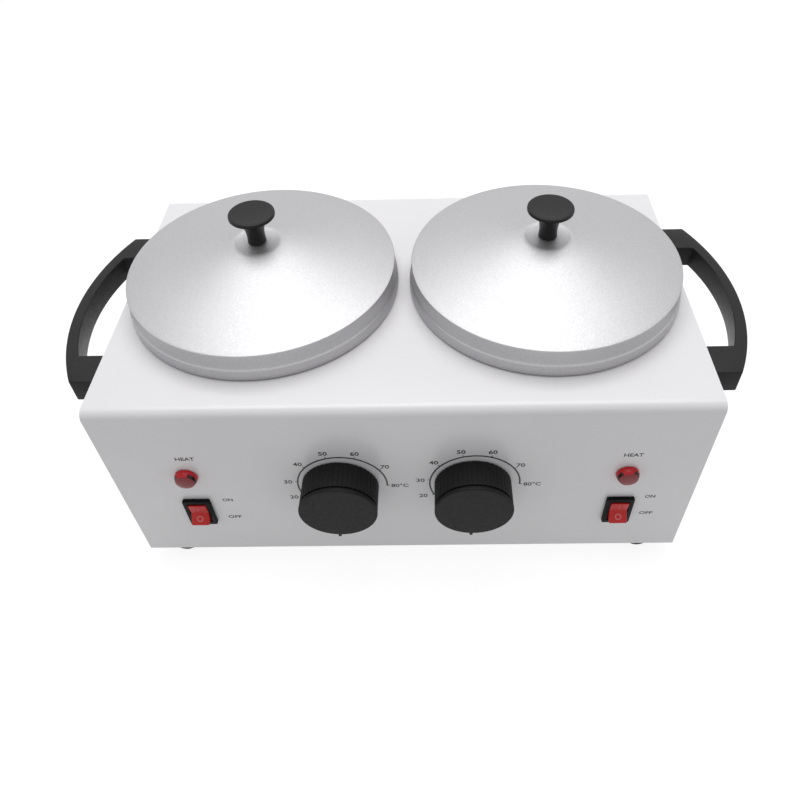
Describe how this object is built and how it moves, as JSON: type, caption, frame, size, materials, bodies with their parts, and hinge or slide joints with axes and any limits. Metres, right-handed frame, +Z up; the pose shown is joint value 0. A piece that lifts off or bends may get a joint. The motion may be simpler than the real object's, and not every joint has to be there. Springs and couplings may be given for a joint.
{
  "type": "double wax warmer",
  "caption": "Table-top warmer: a folded metal box with lidded lift-out pots in heated wells, each with a temperature knob, rocker switch and pilot lamp, and a handle at each end.",
  "frame": {"origin": "on the table, under the middle of the box", "axes": "+X to the right as seen from the control panel, +Y from the control panel to the back, +Z up"},
  "size_m": [0.3762, 0.2196, 0.1833],
  "materials": {
    "white_coat": "satin white powder coat",
    "base_steel": "zinc-plated sheet",
    "fastener_steel": "zinc-plated",
    "lid_aluminium": "spun and bead-blasted, matt",
    "pot_aluminium": "drawn, satin",
    "well_aluminium": "drawn, satin",
    "band_steel": "heat-tinted sheet",
    "capillary_copper": "bright copper",
    "handle_plastic": "matt black moulding",
    "lid_knob_plastic": "satin black moulding",
    "control_knob_plastic": "matt black moulding",
    "switch_plastic": "satin black moulding",
    "rocker_plastic": "translucent red",
    "lamp_plastic": "clear red",
    "thermostat_plastic": "dark brown thermoset",
    "terminal_plastic": "natural white",
    "gland_plastic": "black nylon",
    "lead_silicone": "white silicone sleeve",
    "foot_rubber": "matt black rubber"
  },
  "bodies": {
    "housing": {"housing_cover": "white_coat", "left_side_panel": "white_coat", "right_side_panel": "white_coat", "base_plate": "base_steel", "cord_gland": "gland_plastic", "gland_nut": "gland_plastic", "terminal_block": "terminal_plastic", "earth_screw": "fastener_steel", "left_front_foot": "foot_rubber", "left_front_foot_screw": "fastener_steel", "left_front_handle_screw": "fastener_steel", "left_back_foot": "foot_rubber", "left_back_foot_screw": "fastener_steel", "left_back_handle_screw": "fastener_steel", "left_handle": "handle_plastic", "left_heating_well": "well_aluminium", "left_heater_band": "band_steel", "left_band_screw": "fastener_steel", "left_thermostat": "thermostat_plastic", "left_thermostat_screw_1": "fastener_steel", "left_thermostat_screw_2": "fastener_steel", "left_capillary_bulb": "capillary_copper", "left_lamp_lens": "lamp_plastic", "left_lamp_ring": "fastener_steel", "left_switch_housing": "switch_plastic", "left_heater_lead": "lead_silicone", "left_switch_lead": "lead_silicone", "right_front_foot": "foot_rubber", "right_front_foot_screw": "fastener_steel", "right_front_handle_screw": "fastener_steel", "right_back_foot": "foot_rubber", "right_back_foot_screw": "fastener_steel", "right_back_handle_screw": "fastener_steel", "right_handle": "handle_plastic", "right_heating_well": "well_aluminium", "right_heater_band": "band_steel", "right_band_screw": "fastener_steel", "right_thermostat": "thermostat_plastic", "right_thermostat_screw_1": "fastener_steel", "right_thermostat_screw_2": "fastener_steel", "right_capillary_bulb": "capillary_copper", "right_lamp_lens": "lamp_plastic", "right_lamp_ring": "fastener_steel", "right_switch_housing": "switch_plastic", "right_heater_lead": "lead_silicone", "right_switch_lead": "lead_silicone"},
    "left_pot": {"left_wax_pot": "pot_aluminium"},
    "left_lid": {"left_lid": "lid_aluminium", "left_lid_knob": "lid_knob_plastic", "left_lid_knob_screw": "fastener_steel"},
    "left_knob": {"left_temperature_knob": "control_knob_plastic", "left_thermostat_shaft": "fastener_steel"},
    "left_rocker": {"left_switch_rocker": "rocker_plastic"},
    "right_pot": {"right_wax_pot": "pot_aluminium"},
    "right_lid": {"right_lid": "lid_aluminium", "right_lid_knob": "lid_knob_plastic", "right_lid_knob_screw": "fastener_steel"},
    "right_knob": {"right_temperature_knob": "control_knob_plastic", "right_thermostat_shaft": "fastener_steel"},
    "right_rocker": {"right_switch_rocker": "rocker_plastic"}
  },
  "joints": [
    {"name": "left_pot_lift", "type": "slide", "parent": "housing", "child": "left_pot", "axis": [0, 0, 1], "range_m": [0, 0.12]},
    {"name": "left_lid_lift", "type": "slide", "parent": "left_pot", "child": "left_lid", "axis": [0, 0, 1], "range_m": [0, 0.06]},
    {"name": "left_knob_turn", "type": "hinge", "parent": "housing", "child": "left_knob", "pos_m": [-0.0346, -0.09175, 0.0744], "axis": [0, 1, 0], "range_deg": [0, 268]},
    {"name": "left_switch_rock", "type": "hinge", "parent": "housing", "child": "left_rocker", "pos_m": [-0.1153, -0.09155, 0.0516], "axis": [1, 0, 0], "range_deg": [0, 30]},
    {"name": "right_pot_lift", "type": "slide", "parent": "housing", "child": "right_pot", "axis": [0, 0, 1], "range_m": [0, 0.12]},
    {"name": "right_lid_lift", "type": "slide", "parent": "right_pot", "child": "right_lid", "axis": [0, 0, 1], "range_m": [0, 0.06]},
    {"name": "right_knob_turn", "type": "hinge", "parent": "housing", "child": "right_knob", "pos_m": [0.0358, -0.09175, 0.0744], "axis": [0, 1, 0], "range_deg": [0, 268]},
    {"name": "right_switch_rock", "type": "hinge", "parent": "housing", "child": "right_rocker", "pos_m": [0.1165, -0.09155, 0.0492], "axis": [1, 0, 0], "range_deg": [0, 30]}
  ]
}
